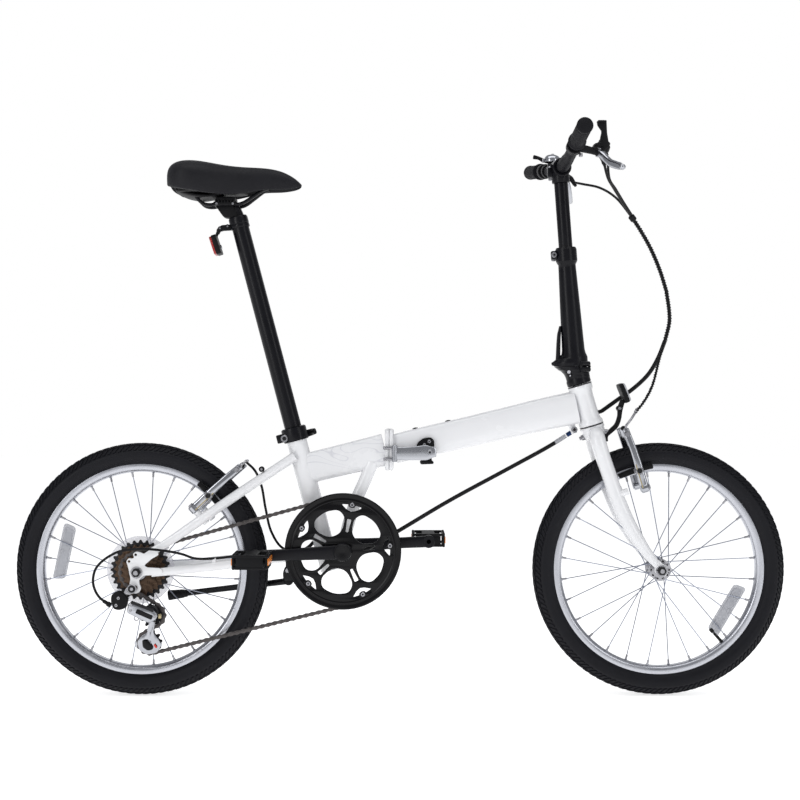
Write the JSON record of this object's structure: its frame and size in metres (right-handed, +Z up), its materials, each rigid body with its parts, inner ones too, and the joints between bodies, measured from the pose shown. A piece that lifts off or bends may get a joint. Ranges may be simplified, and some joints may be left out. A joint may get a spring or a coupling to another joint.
{
  "type": "folding bicycle",
  "caption": "Folding bicycle with small wheels, a hinged low main beam, a folding telescopic handlepost, a sliding seatpost and a chain drive with a rear derailleur.",
  "frame": {"origin": "on the ground, midway between the two wheel hubs, in the wheels' middle plane", "axes": "+X to the front, +Y to the rider's left, +Z up"},
  "size_m": [1.524, 0.5689, 1.1131],
  "materials": {
    "frame_paint": "glossy white paint",
    "black_alloy": "satin black anodised alloy",
    "black_plastic": "matte black moulded plastic",
    "polished_alloy": "polished silver alloy",
    "steel": "zinc plated steel",
    "chain_steel": "dark brown steel",
    "tyre_rubber": "black tyre rubber",
    "grip_rubber": "dark textured rubber",
    "cable_housing": "black cable housing",
    "saddle_cover": "matte black synthetic leather"
  },
  "bodies": {
    "rear_frame": {"seat_tube": "frame_paint", "bottom_bracket": "steel", "rear_beam": "frame_paint", "brace_tubes": "frame_paint", "chainstay_right": "frame_paint", "chainstay_left": "frame_paint", "seatstay_right": "frame_paint", "seatstay_left": "frame_paint", "seat_clamp": "black_alloy", "rear_axle": "steel", "chain": "chain_steel", "rear_brake_cable": "cable_housing", "shift_cable": "cable_housing", "derailleur_knuckle": "black_plastic"},
    "front_frame": {"front_beam": "frame_paint", "frame_tension_cable": "cable_housing", "frame_cables": "cable_housing"},
    "main_latch_lever": {"latch_lever": "polished_alloy"},
    "safety_catch": {"latch_catch": "black_plastic"},
    "fork": {"fork": "frame_paint", "handlepost_base": "black_alloy", "control_cables": "cable_housing"},
    "lower_post": {"lower_handlepost": "black_alloy"},
    "post_latch_lever": {"handlepost_latch": "black_alloy"},
    "post_clamp_lever": {"telescope_lever": "black_alloy"},
    "upper_post": {"upper_handlepost": "black_alloy", "handlebar": "black_alloy", "grip_right": "grip_rubber", "grip_left": "grip_rubber", "lever_perch_right": "black_plastic", "lever_perch_left": "black_plastic", "bell": "polished_alloy"},
    "brake_lever_right": {"brake_lever_right": "polished_alloy"},
    "brake_lever_left": {"brake_lever_left": "polished_alloy"},
    "shift_lever": {"shift_lever": "black_plastic"},
    "bell_striker": {"bell_striker": "black_plastic"},
    "front_wheel": {"front_tyre": "tyre_rubber", "front_rim": "polished_alloy", "front_hub": "polished_alloy"},
    "rear_wheel": {"rear_tyre": "tyre_rubber", "rear_rim": "polished_alloy", "rear_hub": "polished_alloy"},
    "freewheel": {"freewheel": "chain_steel"},
    "crankset": {"chainring": "black_alloy", "crank_right": "black_alloy", "crank_left": "black_alloy"},
    "pedal_right": {"pedal_right": "black_plastic"},
    "pedal_left": {"pedal_left": "black_plastic"},
    "derailleur": {"derailleur_link": "polished_alloy"},
    "derailleur_cage": {"derailleur_cage": "polished_alloy"},
    "guide_pulley": {"guide_pulley": "black_plastic"},
    "tension_pulley": {"tension_pulley": "black_plastic"},
    "kickstand": {"kickstand_leg": "black_alloy"},
    "rear_brake_arm_right": {"rear_brake_arm_right": "polished_alloy"},
    "rear_brake_arm_left": {"rear_brake_arm_left": "polished_alloy"},
    "front_brake_arm_right": {"front_brake_arm_right": "polished_alloy"},
    "front_brake_arm_left": {"front_brake_arm_left": "polished_alloy"},
    "seatpost": {"seatpost": "black_alloy", "saddle": "saddle_cover"},
    "seat_clamp_lever": {"seat_clamp_lever": "black_alloy"}
  },
  "joints": [
    {"name": "main_fold", "type": "hinge", "parent": "rear_frame", "child": "front_frame", "pos_m": [-0.022, 0.032, 0.486], "axis": [0, 0, 1], "range_deg": [0, 140], "deforming": ["frame_tension_cable", "frame_cables"]},
    {"name": "main_latch", "type": "hinge", "parent": "front_frame", "child": "main_latch_lever", "pos_m": [-0.011, -0.034, 0.479], "axis": [0, 0, -1], "range_deg": [0, 110]},
    {"name": "safety_catch", "type": "hinge", "parent": "front_frame", "child": "safety_catch", "pos_m": [0.057, -0.0245, 0.503], "axis": [0, 1, 0], "range_deg": [0, 40]},
    {"name": "steering", "type": "hinge", "parent": "front_frame", "child": "fork", "pos_m": [0.3807, 0, 0.533], "axis": [-0.284, 0, 0.9588], "range_deg": [-50, 50], "deforming": ["control_cables"]},
    {"name": "handlepost_fold", "type": "hinge", "parent": "fork", "child": "lower_post", "pos_m": [0.368, -0.021, 0.651], "axis": [0.7071, 0.7071, 0], "range_deg": [0, 150]},
    {"name": "handlepost_latch", "type": "hinge", "parent": "lower_post", "child": "post_latch_lever", "pos_m": [0.313, 0, 0.66], "axis": [0, -1, 0], "range_deg": [0, 110]},
    {"name": "handlepost_height", "type": "slide", "parent": "lower_post", "child": "upper_post", "axis": [0.0739, 0, -0.9973], "range_m": [-0.01, 0.095]},
    {"name": "height_clamp", "type": "hinge", "parent": "lower_post", "child": "post_clamp_lever", "pos_m": [0.306, 0.013, 0.87], "axis": [0, 0, 1], "range_deg": [0, 120]},
    {"name": "brake_lever_right", "type": "hinge", "parent": "upper_post", "child": "brake_lever_right", "pos_m": [0.374, -0.14768, 1.052], "axis": [-0.2116, -0.0185, -0.9772], "range_deg": [0, 15], "stiffness_Nm_per_rad": 0.6},
    {"name": "brake_lever_left", "type": "hinge", "parent": "upper_post", "child": "brake_lever_left", "pos_m": [0.34751, 0.15516, 1.052], "axis": [0.2116, 0.0185, 0.9772], "range_deg": [0, 15], "stiffness_Nm_per_rad": 0.6},
    {"name": "shift_lever", "type": "hinge", "parent": "upper_post", "child": "shift_lever", "pos_m": [0.38762, -0.12742, 1.07208], "axis": [0.315, 0.0276, 0.9487], "range_deg": [-30, 60]},
    {"name": "bell_striker", "type": "hinge", "parent": "upper_post", "child": "bell_striker", "pos_m": [0.29581, 0.12153, 1.08015], "axis": [0, 0, 1], "range_deg": [0, 20], "stiffness_Nm_per_rad": 0.02},
    {"name": "front_wheel_spin", "type": "hinge", "parent": "fork", "child": "front_wheel", "pos_m": [0.512, 0, 0.25], "axis": [0, 1, 0], "continuous": true},
    {"name": "rear_wheel_spin", "type": "hinge", "parent": "rear_frame", "child": "rear_wheel", "pos_m": [-0.512, 0, 0.25], "axis": [0, 1, 0], "continuous": true},
    {"name": "crank_spin", "type": "hinge", "parent": "rear_frame", "child": "crankset", "pos_m": [-0.112, 0, 0.289], "axis": [0, 1, 0], "continuous": true, "deforming": ["chain"]},
    {"name": "freewheel_spin", "type": "hinge", "parent": "rear_frame", "child": "freewheel", "pos_m": [-0.512, 0, 0.25], "axis": [0, 1, 0], "continuous": true},
    {"name": "pedal_right_spin", "type": "hinge", "parent": "crankset", "child": "pedal_right", "pos_m": [-0.28181, 0, 0.28099], "axis": [0, 1, 0], "continuous": true},
    {"name": "pedal_left_spin", "type": "hinge", "parent": "crankset", "child": "pedal_left", "pos_m": [0.05781, 0, 0.29701], "axis": [0, 1, 0], "continuous": true},
    {"name": "derailleur_shift", "type": "slide", "parent": "rear_frame", "child": "derailleur", "axis": [0, 1, 0], "range_m": [-0.009, 0.018]},
    {"name": "cage_swing", "type": "hinge", "parent": "derailleur", "child": "derailleur_cage", "pos_m": [-0.484, -0.046, 0.163], "axis": [0, 1, 0], "range_deg": [-35, 20], "stiffness_Nm_per_rad": 0.5},
    {"name": "guide_pulley_spin", "type": "hinge", "parent": "derailleur_cage", "child": "guide_pulley", "pos_m": [-0.484, -0.046, 0.163], "axis": [0, 1, 0], "continuous": true},
    {"name": "tension_pulley_spin", "type": "hinge", "parent": "derailleur_cage", "child": "tension_pulley", "pos_m": [-0.49, -0.046, 0.111], "axis": [0, 1, 0], "continuous": true},
    {"name": "kickstand", "type": "hinge", "parent": "rear_frame", "child": "kickstand", "pos_m": [-0.226, 0.04, 0.222], "axis": [0.2, -0.9798, 0], "range_deg": [0, 100]},
    {"name": "rear_brake_arm_right", "type": "hinge", "parent": "rear_frame", "child": "rear_brake_arm_right", "pos_m": [-0.40377, -0.048, 0.3716], "axis": [-0.678, 0, 0.735], "range_deg": [0, 2.1]},
    {"name": "rear_brake_arm_left", "type": "hinge", "parent": "rear_frame", "child": "rear_brake_arm_left", "pos_m": [-0.40377, 0.048, 0.3716], "axis": [0.678, 0, -0.735], "range_deg": [0, 2.1]},
    {"name": "front_brake_arm_right", "type": "hinge", "parent": "fork", "child": "front_brake_arm_right", "pos_m": [0.47777, -0.048, 0.4122], "axis": [-0.9539, 0, -0.3], "range_deg": [0, 2.1]},
    {"name": "front_brake_arm_left", "type": "hinge", "parent": "fork", "child": "front_brake_arm_left", "pos_m": [0.47777, 0.048, 0.4122], "axis": [0.9539, 0, 0.3], "range_deg": [0, 2.1]},
    {"name": "seatpost_height", "type": "slide", "parent": "rear_frame", "child": "seatpost", "axis": [0.2546, 0, -0.967], "range_m": [-0.02, 0.375]},
    {"name": "seat_clamp", "type": "hinge", "parent": "rear_frame", "child": "seat_clamp_lever", "pos_m": [-0.231, 0.024, 0.509], "axis": [-0.2546, 0, 0.967], "range_deg": [0, 150]}
  ],
  "couplings": [
    {"joint": "freewheel_spin", "follows": "crank_spin", "ratio": 2.8889},
    {"joint": "guide_pulley_spin", "follows": "crank_spin", "ratio": -4.7273},
    {"joint": "tension_pulley_spin", "follows": "crank_spin", "ratio": 4.7273},
    {"joint": "shift_lever", "follows": "derailleur_shift", "rad_per_m": 56.915},
    {"joint": "rear_brake_arm_right", "follows": "brake_lever_right", "ratio": 0.1333},
    {"joint": "rear_brake_arm_left", "follows": "brake_lever_right", "ratio": 0.1333},
    {"joint": "front_brake_arm_right", "follows": "brake_lever_left", "ratio": 0.1333},
    {"joint": "front_brake_arm_left", "follows": "brake_lever_left", "ratio": 0.1333}
  ]
}
